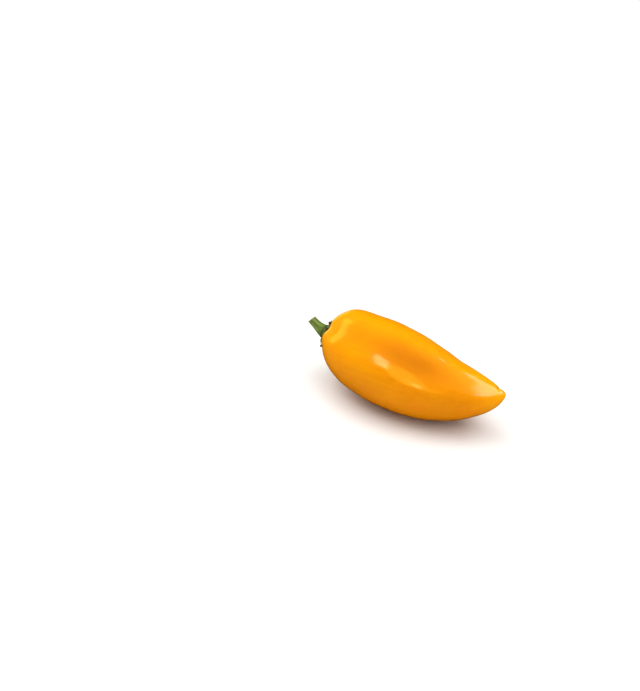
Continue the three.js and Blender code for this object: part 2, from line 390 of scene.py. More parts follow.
def joined(grids: list[Grid]) -> Grid:
    """Puts several closed surfaces into one list of vertices and faces.

    Args:
        grids: the surfaces.

    Returns:
        One grid that holds them all.
    """
    points = []
    faces = []
    offset = 0
    for grid in grids:
        points.append(grid.points)
        faces.extend([[index + offset for index in face] for face in grid.faces])
        offset += len(grid.points)
    return Grid(np.concatenate(points), faces)


def mesh_object(name: str, grid: Grid) -> bpy.types.Object:
    """Makes a smooth-shaded object at the origin.

    Args:
        name: the name of the object and its mesh.
        grid: its surface in millimetres.

    Returns:
        The object, linked to the scene.
    """
    mesh = bpy.data.meshes.new(name)
    mesh.from_pydata((grid.points * MM).tolist(), [], grid.faces)
    mesh.polygons.foreach_set("use_smooth", np.ones(len(mesh.polygons), bool))
    mesh.update()
    thing = bpy.data.objects.new(name, mesh)
    bpy.context.scene.collection.objects.link(thing)
    return thing


def read_vectors(rows: bpy.types.bpy_prop_collection, name: str) -> np.ndarray:
    """Reads one vector from each row of a mesh's list.

    Args:
        rows: the mesh's vertices or vertex normals.
        name: the property that holds the vector.

    Returns:
        An array of rows by three.
    """
    flat = np.empty(len(rows) * 3, np.float32)
    rows.foreach_get(name, flat)
    return flat.reshape(-1, 3).astype(float)


def move_vertices(thing: bpy.types.Object, points: np.ndarray) -> None:
    """Puts the object's vertices at new places, in millimetres."""
    thing.data.vertices.foreach_set("co", (points * MM).astype(np.float32).ravel())
    thing.data.update()


def store(thing: bpy.types.Object, tones: dict[str, np.ndarray]) -> None:
    """Stores numbers for each vertex as attributes.

    Args:
        thing: the object.
        tones: the numbers under each attribute's name.
    """
    for name, values in tones.items():
        attribute = thing.data.attributes.new(name, "FLOAT", "POINT")
        attribute.data.foreach_set("value", values.astype(np.float32).ravel())


def fuse(thing: bpy.types.Object, voxel: float, smoothing: int) -> None:
    """Grows the shells of a mesh into one skin by a fine voxel remesh, and smooths it lightly.

    Args:
        thing: the object, whose mesh is replaced.
        voxel: edge of a voxel in millimetres.
        smoothing: rounds of smoothing.
    """
    remesh = thing.modifiers.new("grow_together", "REMESH")
    remesh.mode = "VOXEL"
    remesh.voxel_size = voxel * MM
    remesh.use_smooth_shade = True
    soften = thing.modifiers.new("soften", "SMOOTH")
    soften.factor = SMOOTHING_FACTOR
    soften.iterations = smoothing
    graph = bpy.context.evaluated_depsgraph_get()
    fused = bpy.data.meshes.new_from_object(thing.evaluated_get(graph))
    thing.modifiers.clear()
    plain = thing.data
    thing.data = fused
    bpy.data.meshes.remove(plain)
    fused.name = thing.name


class Pattern(NamedTuple):
    """A cloudy pattern: patch size in millimetres, detail, the range that counts, and stretch."""

    size: float
    detail: float
    low: float
    high: float
    stretch: tuple[float, float, float] = (1, 1, 1)


class Grain(NamedTuple):
    """Fine relief in the shading: patch size and depth in millimetres, detail, strength and stretch."""

    size: float
    detail: float
    depth: float
    strength: float
    stretch: tuple[float, float, float] = (1, 1, 1)


class Glow(NamedTuple):
    """Light that passes through the surface: its share, its colour's reach, and its depth in millimetres."""

    share: float
    reach: tuple[float, float, float]
    depth: float


class Recipe:
    """A node tree that is written step by step for one finish."""

    def __init__(self, name: str) -> None:
        """Starts an empty tree with its output.

        Args:
            name: the material's name.
        """
        self.material = bpy.data.materials.new(name)
        self.material.use_nodes = True
        self.tree = self.material.node_tree
        self.tree.nodes.clear()
        self.output = self.tree.nodes.new("ShaderNodeOutputMaterial")

    def node(self, kind: str, inputs: dict | None = None, **settings: object) -> bpy.types.Node:
        """Adds a node.

        Args:
            kind: the node's type, without the word ShaderNode.
            inputs: values or sockets for its named or numbered inputs.
            **settings: its own properties.

        Returns:
            The node.
        """
        made = self.tree.nodes.new("ShaderNode" + kind)
        for name, value in settings.items():
            setattr(made, name, value)
        for name, value in (inputs or {}).items():
            if isinstance(value, Socket):
                self.tree.links.new(value, made.inputs[name])
            else:
                made.inputs[name].default_value = value
        return made

    def place(self, stretch: tuple[float, float, float] = (1, 1, 1)) -> Socket:
        """Returns the object's own coordinates, stretched along its axes."""
        here = self.node("TexCoord").outputs["Object"]
        return self.node("Mapping", {"Vector": here, "Scale": stretch}).outputs["Vector"]

    def noise(self, shape: Pattern | Grain) -> Socket:
        """Returns the plain noise of a pattern or a grain."""
        inputs = {"Vector": self.place(shape.stretch), "Scale": 1 / (shape.size * MM), "Detail": shape.detail}
        return self.node("TexNoise", inputs).outputs["Fac"]

    def cloud(self, pattern: Pattern, to: Span = (0, 1)) -> Socket:
        """Returns a pattern whose range that counts is mapped smoothly to another one."""
        return self.ramp(self.noise(pattern), pattern.low, pattern.high, to)

    def dots(self, spacing: float, size: float) -> Socket:
        """Returns 1 in small round dots of a size and spacing in millimetres, and 0 between them."""
        cells = self.node("TexVoronoi", {"Vector": self.place(), "Scale": 1 / (spacing * MM)})
        return self.ramp(cells.outputs["Distance"], size / spacing, 0.0)

    def value(self, name: str) -> Socket:
        """Returns a number stored for each vertex."""
        return self.node("Attribute", attribute_name=name).outputs["Fac"]

    def ramp(self, source: Socket, low: float, high: float, to: Span = (0, 1)) -> Socket:
        """Maps a range smoothly to another one."""
        inputs = {"Value": source, "From Min": low, "From Max": high, "To Min": to[0], "To Max": to[1]}
        return self.node("MapRange", inputs, interpolation_type="SMOOTHSTEP").outputs["Result"]

    def times(self, a: object, b: object) -> Socket:
        """Returns the product of two numbers."""
        return self.node("Math", {0: a, 1: b}, operation="MULTIPLY").outputs[0]

    def mix(self, share: object, under: object, over: object) -> Socket:
        """Lays one colour over another by a share from 0 to 1."""
        inputs = {MixSocket.SHARE.value: share, MixSocket.UNDER.value: under, MixSocket.OVER.value: over}
        return self.node("Mix", inputs, data_type="RGBA").outputs[MixSocket.RESULT.value]

    def layer(self, cover: Socket, strength: float, under: object, over: object) -> Socket:
        """Lays one colour over another where the cover is 1, at a strength."""
        return self.mix(self.times(cover, strength), under, over)

    def bump(self, grain: Grain, under: Socket | None = None) -> Socket:
        """Bends the normal by a fine relief.

        Args:
            grain: the relief.
            under: the normal that it starts from, if it isn't the surface's own.

        Returns:
            The bent normal.
        """
        inputs = {"Height": self.noise(grain), "Distance": grain.depth * MM, "Strength": grain.strength}
        if under is not None:
            inputs["Normal"] = under
        return self.node("Bump", inputs).outputs["Normal"]

    def finish(self, inputs: dict, glow: Glow | None = None) -> bpy.types.Material:
        """Closes the tree with the surface shader.

        Args:
            inputs: values or sockets for the shader.
            glow: the light that passes through, if any does.

        Returns:
            The material.
        """
        if glow is not None:
            inputs["Subsurface Weight"] = glow.share
            inputs["Subsurface Radius"] = glow.reach
            inputs["Subsurface Scale"] = glow.depth * MM
        shader = self.node("BsdfPrincipled", inputs)
        self.tree.links.new(shader.outputs["BSDF"], self.output.inputs["Surface"])
        return self.material


@dataclass(frozen=True)
class SkinFinish:
    """Waxy pepper skin: saturated yellow-orange with painted light on the top and painted shade underneath
    and in the furrows, glossy, softly lit through.
    """

    # The deeper orange below is both the streaks' own tone and painted shade underneath and in the furrows.
    deep_tone_and_painted_shade: Colour = (0.5, 0.135, 0.0, 1)
    ripe: Colour = (0.8, 0.23, 0.0, 1)
    # The paler yellow below is both the tone of the clouds, ends and dots and painted light on the top.
    sunny_tone_and_painted_light: Colour = (0.9, 0.355, 0.0, 1)
    painted_light_share: float = 0.6
    painted_shade_share: float = 0.6
    clouds: Pattern = Pattern(16, 3, 0.35, 0.7)
    cloud_share: float = 0.2
    streaks: Pattern = Pattern(1.3, 4, 0.35, 0.7, (0.1, 1, 1))
    streak_share: float = 0.16
    painted_furrow_shade_share: float = 0.8
    ends_share: float = 0.95
    dot_spacing: float = 2.1
    dot_size: float = 0.22
    dot_share: float = 0.18
    glow: Glow = Glow(0.35, (1.0, 0.32, 0.05), 2.2)
    sheen: Pattern = Pattern(5, 4, 0.3, 0.7)
    roughness: Span = (0.3, 0.4)
    refraction: float = 1.45
    gloss: float = 0.08
    gloss_tint: Colour = (1.0, 0.8, 0.5, 1)
    wax: float = 0.9
    wax_roughness: float = 0.11
    fine: Grain = Grain(0.5, 3, 0.02, 0.25)
    broad: Grain = Grain(2.4, 2, 0.05, 0.38, (0.4, 1, 1))

    def material(self) -> bpy.types.Material:
        """Builds the skin: painted light, painted shade, clouds, streaks, painted shade in the furrows, ends
        and dots, under uneven wax.

        Returns:
            The material.
        """
        recipe = Recipe("pepper_skin")
        # Painted light: a lighter tone on the top and on one lobe.
        colour = recipe.layer(recipe.value("painted_light"), self.painted_light_share, self.ripe, self.sunny_tone_and_painted_light)
        # Painted shade: a darker tone on the underside and under the tip.
        colour = recipe.layer(recipe.value("painted_shade"), self.painted_shade_share, colour, self.deep_tone_and_painted_shade)
        colour = recipe.layer(recipe.cloud(self.clouds), self.cloud_share, colour, self.sunny_tone_and_painted_light)
        colour = recipe.layer(recipe.cloud(self.streaks), self.streak_share, colour, self.deep_tone_and_painted_shade)
        # Painted shade: a darker tone in the furrows and in a hollow on the side.
        colour = recipe.layer(recipe.value("furrow"), self.painted_furrow_shade_share, colour, self.deep_tone_and_painted_shade)
        colour = recipe.layer(recipe.value("ends"), self.ends_share, colour, self.sunny_tone_and_painted_light)
        dots = recipe.dots(self.dot_spacing, self.dot_size)
        colour = recipe.layer(dots, self.dot_share, colour, self.sunny_tone_and_painted_light)
        uneven = recipe.bump(self.broad, recipe.bump(self.fine))
        return recipe.finish({
            "Base Color": colour, "Roughness": recipe.cloud(self.sheen, self.roughness),
            "Normal": uneven, "IOR": self.refraction,
            "Specular IOR Level": self.gloss, "Specular Tint": self.gloss_tint,
            "Coat Weight": self.wax, "Coat Roughness": self.wax_roughness, "Coat Normal": uneven,
        }, self.glow)


@dataclass(frozen=True)
class CalyxFinish:
    """Leafy green calyx: painted shade in the wrinkles' hollows, paler on veins and margin, nearly black on
    the tooth tips.
    """

    # Painted shade: the dark green in the wrinkles' hollows and where the cap rises into the neck.
    painted_fold_shade: Colour = (0.012, 0.034, 0.004, 1)
    leaf: Colour = (0.055, 0.115, 0.012, 1)
    vein: Colour = (0.15, 0.215, 0.055, 1)
    dry: Colour = (0.36, 0.29, 0.14, 1)
    tip: Colour = (0.016, 0.015, 0.007, 1)
    mottle: Pattern = Pattern(0.9, 4, 0.35, 0.65)
    mottle_share: float = 0.25
    vein_share: float = 0.75
    dry_patches: Pattern = Pattern(2.2, 3, 0.5, 0.62)
    dry_share: float = 0.8
    glow: Glow = Glow(0.12, (0.4, 0.8, 0.1), 0.6)
    sheen: Pattern = Pattern(1.5, 3, 0.3, 0.7)
    roughness: Span = (0.34, 0.55)
    grain: Grain = Grain(0.28, 4, 0.05, 0.5)

    def material(self) -> bpy.types.Material:
        """Builds the leaf: painted shade in the wrinkles' hollows, veins, dry margin and dark tips from the
        mesh's own numbers, with mottling.

        Returns:
            The material.
        """
        recipe = Recipe("calyx_green")
        dry = recipe.times(recipe.value("margin"), recipe.cloud(self.dry_patches))
        # Painted shade: the leaf darkens towards the wrinkles' hollows and the neck.
        colour = recipe.mix(recipe.value("clear_of_painted_fold_shade"), self.painted_fold_shade, self.leaf)
        colour = recipe.layer(recipe.cloud(self.mottle), self.mottle_share, colour, self.vein)
        colour = recipe.layer(recipe.value("vein"), self.vein_share, colour, self.vein)
        colour = recipe.layer(dry, self.dry_share, colour, self.dry)
        colour = recipe.mix(recipe.value("tip"), colour, self.tip)
        return recipe.finish({
            "Base Color": colour, "Roughness": recipe.cloud(self.sheen, self.roughness),
            "Normal": recipe.bump(self.grain),
        }, self.glow)


@dataclass(frozen=True)
class StalkFinish:
    """Ribbed green stalk: green flanks, paler ribs that are partly painted highlight, a foot darkened by
    painted shade, a dry lip and a pale cut end.
    """

    flank: Colour = (0.062, 0.115, 0.012, 1)
    # The paler rib green is partly the stalk's own tone and partly painted highlight on the crests and
    # knuckle.
    rib: Colour = (0.175, 0.25, 0.045, 1)
    # Painted shade: a darker green where the stalk sinks into the calyx's neck.
    foot: Colour = (0.03, 0.075, 0.012, 1)
    pith: Colour = (0.5, 0.52, 0.3, 1)
    vessel: Colour = (0.2, 0.22, 0.09, 1)
    dry: Colour = (0.16, 0.13, 0.075, 1)
    rib_tone_and_painted_highlight_share: float = 0.85
    fibre: Pattern = Pattern(0.5, 4, 0.35, 0.65, (0.25, 1, 0.6))
    fibre_share: float = 0.3
    mottle: Pattern = Pattern(1.6, 3, 0.35, 0.7)
    mottle_share: float = 0.25
    lip_share: float = 0.8
    speckle: Pattern = Pattern(0.3, 4, 0.4, 0.7)
    speckle_share: float = 0.5
    glow: Glow = Glow(0.12, (0.5, 0.9, 0.15), 0.8)
    sheen: Pattern = Pattern(1.2, 3, 0.3, 0.7)
    roughness: Span = (0.32, 0.5)
    grain: Grain = Grain(0.22, 4, 0.05, 0.45, (0.35, 1, 0.7))

    def material(self) -> bpy.types.Material:
        """Builds the stalk: rib tone with some painted highlight, painted shade on the foot, lengthwise
        fibre, mottling, dry lip, and the cut end's rings.

        Returns:
            The material.
        """
        recipe = Recipe("stem_green")
        # Paler rib crests and knuckle, partly painted highlight.
        colour = recipe.layer(recipe.value("rib"), self.rib_tone_and_painted_highlight_share, self.flank, self.rib)
        colour = recipe.layer(recipe.cloud(self.fibre), self.fibre_share, colour, self.flank)
        colour = recipe.layer(recipe.cloud(self.mottle), self.mottle_share, colour, self.rib)
        # Painted shade on the foot.
        colour = recipe.mix(recipe.value("foot"), colour, self.foot)
        colour = recipe.layer(recipe.value("lip"), self.lip_share, colour, self.dry)
        cut = recipe.mix(recipe.value("vessels"), self.pith, self.vessel)
        cut = recipe.layer(recipe.cloud(self.speckle), self.speckle_share, cut, self.vessel)
        colour = recipe.mix(recipe.value("cut"), colour, cut)
        return recipe.finish({
            "Base Color": colour, "Roughness": recipe.cloud(self.sheen, self.roughness),
            "Normal": recipe.bump(self.grain),
        }, self.glow)


@dataclass
class Fruit:
    """The fruit: one closed waxy skin, pressed flat where it rests, with its tones, among them painted light
    and painted shade.
    """

    form: FruitForm
    rings: int = 285
    sides: int = 340
    shoulder_reach: float = 16.0
    tip_reach: float = 12.0
    # Painted shade: darker furrows and a darker hollow patch on the side.
    painted_furrow_shade_tone: float = 0.45
    hollow: Patch = Patch(0.57, 118, 0.85, 0.22, 25)
    # Painted light: a brighter patch on one lobe.
    glow: Patch = Patch(0.33, 150, 0.5, 0.13, 24)
    # Painted shade: a darker patch on the underside near the tip.
    painted_shade_under_tip: Patch = Patch(0.8, 172, 0.45, 0.14, 36)
    # Painted light on the top and painted shade underneath, by the angle round the axis.
    painted_light_turn: float = 20.0
    painted_tone_level: float = 0.3
    painted_light_swing: float = 0.62
    most_painted_light: float = 1.3

    def surface(self) -> tuple[Grid, np.ndarray, np.ndarray]:
        """Makes the closed skin, pressed flat on the floor by z = softness log(1 + e^(z/softness)).

        Returns:
            The surface, and the distance walked and the angle of each vertex.
        """
        form = self.form
        distance = form.walk * np.arange(1, self.rings) / self.rings
        walked, turned = np.meshgrid(distance, ring_angles(self.sides), indexing="ij")
        rings = form.over(walked, turned, form.ripple(walked, turned))
        rings[..., 2] = form.rest_softness * np.logaddexp(0, rings[..., 2] / form.rest_softness)
        poles = form.over(np.array([0.0, form.walk]), np.zeros(2))
        walked_all = np.concatenate([[0.0], walked.ravel(), [form.walk]])
        turned_all = np.concatenate([[0.0], turned.ravel(), [0.0]])
        return closed_grid(poles[0], rings, poles[1]), walked_all, turned_all

    def tones(self, walked: np.ndarray, turned: np.ndarray) -> dict[str, np.ndarray]:
        """Gives the skin's tones: painted shade in the furrows and a hollow, both ends, painted shade on the
        underside and under the tip, and painted light on the top and one lobe.

        Args:
            walked: the distance of each vertex over the skin from the stem end.
            turned: its angle round the axis.

        Returns:
            A share for each vertex under each tone's name.
        """
        along = self.form.along_at(walked)
        deepest = max(furrow.depth for furrow in self.form.furrows)
        furrow = self.painted_furrow_shade_tone * self.form.furrow_depth(along, turned) / deepest
        painted_light_facing = np.sin(turned - math.radians(self.painted_light_turn))
        painted_light = self.painted_tone_level + self.painted_light_swing * painted_light_facing + self.glow.over(along, turned)
        return {
            # Painted shade in the furrows and the hollow.
            "furrow": np.clip(furrow + self.hollow.over(along, turned), 0, 1),
            "ends": bell(walked / self.shoulder_reach) + bell((self.form.walk - walked) / self.tip_reach),
            # Painted shade on the underside and under the tip.
            "painted_shade": np.clip(self.painted_tone_level - painted_light_facing, 0, 1) + self.painted_shade_under_tip.over(along, turned),
            # Painted light on the top and one lobe.
            "painted_light": np.clip(painted_light, 0, self.most_painted_light),
        }

    def build(self) -> bpy.types.Object:
        """Makes the fruit and puts it in the node's place.

        Returns:
            The fruit's object.
        """
        grid, walked, turned = self.surface()
        skin = mesh_object("fruit_skin", grid)
        store(skin, self.tones(walked, turned))
        skin.data.materials.append(SkinFinish().material())
        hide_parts("fruit")
        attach(skin, "root")
        return skin


class Tooth(NamedTuple):
    """A calyx tooth: angle in degrees, tip's distance, knob's place from 0 to 1, and its lobe's reach."""

    angle: float
    tip: float
    knob: float = 0.9
    lobe: float = 1.0


@dataclass
class Calyx:
    """The calyx: a wrinkled cap on the shoulder that rises to a neck, with thin teeth that end in knobs."""

    form: FruitForm
    teeth: tuple[Tooth, ...] = (
        Tooth(28, 12.6), Tooth(100, 9.9, 0.2, 0.2), Tooth(126, 9.0), Tooth(168, 14.9, lobe=0.6),
        Tooth(222, 13.0), Tooth(272, 13.2), Tooth(324, 11.6),
    )
    clearance: float = 0.12
    margin: float = 8.4
    ragged: tuple[Wave, ...] = (Wave(0.35, 3, 1), Wave(0.2, 8), Wave(0.12, 19, 2), Wave(0.07, 31))
    short_side: float = 108.0
    short_width: float = 50.0
    shortening: float = 1.1
    edge: float = 0.7
    inner: float = 5.4
    inner_height: float = 1.9
    neck_height: float = 3.2
    neck_radius: float = 3.1
    neck_drop: float = 1.5
    neck_rings: int = 14
    skirt_rings: int = 30
    sides: int = 480
    fold_bend: tuple[Wave, ...] = (Wave(0.12, 2, rate=5),)
    folds: tuple[Wave, ...] = (Wave(0.26, 13), Wave(0.17, 17, 2), Wave(0.12, 29, 1))
    fold_fade: float = 0.7
    lobe_width: float = 12.0
    root: float = 6.8
    root_radius: float = 0.62
    root_share: float = 0.5
    thread_radius: float = 0.2
    knob_radius: float = 0.52
    knob_reach: float = 0.07
    tooth_float: float = 0.06
    tooth_rings: int = 40
    tooth_sides: int = 20
    tooth_step: float = 0.01
    tooth_end: float = 1.03
    voxel: float = 0.12
    smoothing: int = 2
    vein_sway: float = 0.25
    vein_rate: float = 1.4
    vein_width: float = 0.34
    vein_span: Span = (3.0, 4.5)
    vein_height: float = 0.13
    branch_turns: int = 11
    branch_bend: tuple[Wave, ...] = (Wave(1.3, 2, rate=0.9), Wave(0.5, -5, rate=2.3))
    branch_width: float = 0.2
    branch_span: Span = (4.2, 6.0)
    branch_height: float = 0.07
    branch_tone: float = 0.6
    rung_rate: float = 1.9
    rung_bend: tuple[Wave, ...] = (Wave(1.1, 7), Wave(0.8, 12, 1))
    rung_width: float = 0.22
    rung_share: float = 0.55
    coarse: tuple[Crest, Crest] = (Crest(2.6, sway=1.3, sway_rate=1.7), Crest(2.9, sway=1.1, sway_rate=2.1))
    fine: tuple[Crest, Crest] = (Crest(5.3, 2.2), Crest(4.7, -1.9, 1))
    fine_share: float = 0.45
    crumple_height: float = 0.09
    top_slope: float = 0.3
    relief_span: Span = (3.2, 4.2)
    tooth_calm: float = 0.8
    tooth_span: Span = (1.15, 1.5)
    raised_level: float = 0.45
    raised_by_fold: float = 1.1
    raised_by_crumple: float = 0.28
    groove_span: Span = (2.9, 4.4)
    margin_start: Span = (0.7, 0.98)
    margin_end: Span = (1.1, 1.3)
    tip_span: Span = (0.5, 1.2)
    tip_marks: int = 3

    def margin_at(self, angle: np.ndarray) -> np.ndarray:
        """Gives the distance from the middle to the margin: waves round it, and a lobe at each tooth.

        Args:
            angle: radians round the axis.

        Returns:
            The distance in millimetres.
        """
        away = turn_between(angle, math.radians(self.short_side))
        reach = self.margin + waves(self.ragged, angle)
        reach = reach - self.shortening * bell(away / math.radians(self.short_width))
        for tooth in self.teeth:
            away = turn_between(angle, math.radians(tooth.angle))
            reach = reach + tooth.lobe * bell(away / math.radians(self.lobe_width))
        return reach

    def wrinkle(self, angle: np.ndarray, share: np.ndarray) -> np.ndarray:
        """Returns the height of the wrinkles: waves round the axis that bend and fade along the skirt."""
        fade = np.sin(math.pi * np.clip(share, 0, 1)) ** self.fold_fade
        return waves(self.folds, angle + waves(self.fold_bend, angle, share)) * fade

    def skirt(self, share: np.ndarray, angle: np.ndarray) -> np.ndarray:
        """Gives the skirt's upper face.

        Args:
            share: places over it, from 0 at its inner ring to 1 at its margin.
            angle: radians round the axis.

        Returns:
            Points in millimetres.
        """
        outer = self.margin_at(angle) - self.edge / 2
        reach = self.inner + (outer - self.inner) * share
        height = self.inner_height + (self.edge - self.inner_height) * np.sqrt(share)
        return self.form.over(reach, angle, self.clearance + height + self.wrinkle(angle, share))

    def neck(self, share: np.ndarray, angle: np.ndarray) -> np.ndarray:
        """Gives the neck: a quadratic curve from the seat of the stalk out to the skirt's inner ring.

        Args:
            share: places along it, from 0 at the seat to 1 at the skirt.
            angle: radians round the axis.

        Returns:
            Points in millimetres.
        """
        centre, outward = self.form.seat(self.neck_height)
        side, rise = cross_frame(-outward)
        top = centre + spoke(side, rise, angle) * self.neck_radius
        pull = top - outward * self.neck_drop
        start = self.skirt(np.zeros_like(angle), angle)
        share = share[..., None]
        return top * (1 - share) ** 2 + pull * 2 * share * (1 - share) + start * share**2

    def cap(self) -> Grid:
        """Makes the closed cap: down the neck, over the skirt, round the margin and back underneath.

        Returns:
            The cap's surface.
        """
        angle = ring_angles(self.sides)
        centre, _ = self.form.seat(self.neck_height)
        down = np.linspace(0, 1, self.neck_rings)[:-1]
        over = np.linspace(0, 1, self.skirt_rings)
        neck_share, neck_angle = np.meshgrid(down, angle, indexing="ij")
        skirt_share, skirt_angle = np.meshgrid(over, angle, indexing="ij")
        under_share, under_angle = np.meshgrid(over[:0:-1], angle, indexing="ij")
        reach = self.margin_at(angle)
        rim = self.form.over(reach, angle, self.clearance + self.edge / 2)[None]
        under = self.form.over((reach - self.edge / 2) * under_share, under_angle, self.clearance)
        rings = np.concatenate([
            self.neck(neck_share, neck_angle), self.skirt(skirt_share, skirt_angle), rim, under,
        ])
        return closed_grid(centre, rings, self.form.over(np.array(0.0), np.array(0.0), self.clearance))

    def tooth_radius(self, tooth: Tooth, share: np.ndarray) -> np.ndarray:
        """Gives a tooth's radius: broad root, thin thread, round knob.

        Args:
            tooth: its place and size.
            share: places along it, from 0 at the root to 1 at the tip.

        Returns:
            The radius in millimetres.
        """
        root = (self.root_radius - self.thread_radius) * np.maximum(1 - share / self.root_share, 0)
        knob = (self.knob_radius - self.thread_radius) * bell((share - tooth.knob) / self.knob_reach)
        return self.thread_radius + root + knob

    def tooth_axis(self, tooth: Tooth, share: np.ndarray) -> np.ndarray:
        """Gives the line that a tooth follows over the skin.

        Args:
            tooth: its place and size.
            share: places along it, from 0 at the root to 1 at the tip.

        Returns:
            Points in millimetres.
        """
        distance = self.root + (tooth.tip - self.root) * share
        lift = self.clearance + self.tooth_float + self.tooth_radius(tooth, share)
        return self.form.over(distance, np.full_like(share, math.radians(tooth.angle)), lift)

    def tooth(self, tooth: Tooth) -> Grid:
        """Makes one tooth as a closed round thread with a knob.

        Args:
            tooth: its place and size.

        Returns:
            The tooth's surface.
        """
        share = np.linspace(1.0, 0.0, self.tooth_rings)
        centre = self.tooth_axis(tooth, share)
        step = self.tooth_step
        axis = unit(self.tooth_axis(tooth, share - step) - self.tooth_axis(tooth, share + step))
        side, rise = cross_frame(axis)
        turn = np.broadcast_to(ring_angles(self.tooth_sides), (self.tooth_rings, self.tooth_sides))
        spokes = spoke(side[:, None], rise[:, None], turn)
        rings = centre[:, None] + spokes * self.tooth_radius(tooth, share)[:, None, None]
        ends = self.tooth_axis(tooth, np.array([self.tooth_end, 0.0]))
        return closed_grid(ends[0], rings, ends[1])

    def veins(self, reach: np.ndarray, angle: np.ndarray) -> np.ndarray:
        """Gives the main veins: one swaying line out to each tooth, fading in from the neck.

        Args:
            reach: millimetres from the axis.
            angle: radians round the axis.

        Returns:
            The veins' strength from 0 to 1.
        """
        vein = np.zeros_like(angle)
        for tooth in self.teeth:
            line = turn_between(angle, math.radians(tooth.angle)) * reach
            line = line + self.vein_sway * np.sin(self.vein_rate * reach + tooth.angle)
            vein = np.maximum(vein, bell(line / self.vein_width))
        return vein * smooth_step(reach, *self.vein_span)

    def branches(self, reach: np.ndarray, angle: np.ndarray) -> np.ndarray:
        """Gives side veins: thin lines where a bent wave crosses zero, both round the axis and outwards.

        Args:
            reach: millimetres from the axis.
            angle: radians round the axis.

        Returns:
            The veins' strength from 0 to 1, weaker inwards.
        """
        outwards = np.sin(self.branch_turns * angle + waves(self.branch_bend, angle, reach))
        rungs = np.sin(self.rung_rate * reach + waves(self.rung_bend, angle))
        lines = bell(outwards / self.branch_width) + self.rung_share * bell(rungs / self.rung_width)
        return np.clip(lines, 0, 1) * smooth_step(reach, *self.branch_span)

    def crumple(self, reach: np.ndarray, angle: np.ndarray) -> np.ndarray:
        """Gives crumpling between the veins: two pairs of crossed waves of one to three millimetres.

        Args:
            reach: millimetres from the axis.
            angle: radians round the axis.

        Returns:
            The height, between about -1.5 and 1.5.
        """
        across = reach * np.cos(angle)
        upward = reach * np.sin(angle)
        coarse = self.coarse[0].over(across, upward) * self.coarse[1].over(upward, across)
        fine = self.fine[0].over(across, upward) * self.fine[1].over(upward, across)
        return coarse + self.fine_share * fine

    def tip_tone(self, points: np.ndarray) -> np.ndarray:
        """Gives the dark tone from each tooth's knob to its tip, by the distance to marks along it.

        Args:
            points: the leaf's vertices in millimetres.

        Returns:
            A share for each vertex.
        """
        tone = np.zeros(len(points))
        for tooth in self.teeth:
            for dark in self.tooth_axis(tooth, np.linspace(tooth.knob, 1.0, self.tip_marks)):
                away = np.linalg.norm(points - dark, axis=-1)
                tone = np.maximum(tone, 1 - smooth_step(away, *self.tip_span))
        return tone

    def dress(self, leaf: bpy.types.Object) -> None:
        """Raises fine veins on the fused cap and stores its tones by distance, angle and height, painted
        shade in the wrinkles' hollows among them.

        Args:
            leaf: the fused calyx.
        """
        points = read_vectors(leaf.data.vertices, "co") / MM
        normals = read_vectors(leaf.data.vertex_normals, "vector")
        centre, outward = self.form.seat(0.0)
        side, rise = cross_frame(-outward)
        away = points - centre
        angle = np.arctan2(away @ rise, away @ side)
        reach = np.hypot(away @ rise, away @ side)
        share = (reach - self.inner) / (self.margin_at(angle) - self.inner)
        top = np.clip((normals @ outward + self.top_slope) / (2 * self.top_slope), 0, 1)
        vein = self.veins(reach, angle)
        branches = self.branches(reach, angle)
        crumple = self.crumple(reach, angle)
        height = self.vein_height * vein + self.branch_height * branches + self.crumple_height * crumple
        height = height * top * smooth_step(reach, *self.relief_span)
        height = height * (1 - self.tooth_calm * smooth_step(share, *self.tooth_span))
        move_vertices(leaf, points + normals * height[:, None])
        # Painted shade in the wrinkles: the lighter leaf share rises on wrinkle and crumple crests.
        clear_of_painted_fold_shade = self.raised_level + self.wrinkle(angle, share) * self.raised_by_fold
        clear_of_painted_fold_shade = clear_of_painted_fold_shade + self.raised_by_crumple * crumple
        # Towards the neck the lighter leaf share fades to painted shade, and the veins fade too.
        groove = smooth_step(reach, *self.groove_span)
        store(leaf, {
            "clear_of_painted_fold_shade": np.clip(clear_of_painted_fold_shade * groove, 0, 1),
            "vein": np.maximum(vein, self.branch_tone * branches) * groove * top,
            "margin": smooth_step(share, *self.margin_start) * (1 - smooth_step(share, *self.margin_end)),
            "tip": self.tip_tone(points),
        })

    def build(self) -> bpy.types.Object:
        """Makes the calyx, grown together with its teeth, and puts it in the node's place.

        Returns:
            The calyx's object.
        """
        leaf = mesh_object("calyx_leaf", joined([self.cap(), *(self.tooth(tooth) for tooth in self.teeth)]))
        fuse(leaf, self.voxel, self.smoothing)
        self.dress(leaf)
        leaf.data.materials.append(CalyxFinish().material())
        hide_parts("calyx")
        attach(leaf, "root")
        return leaf


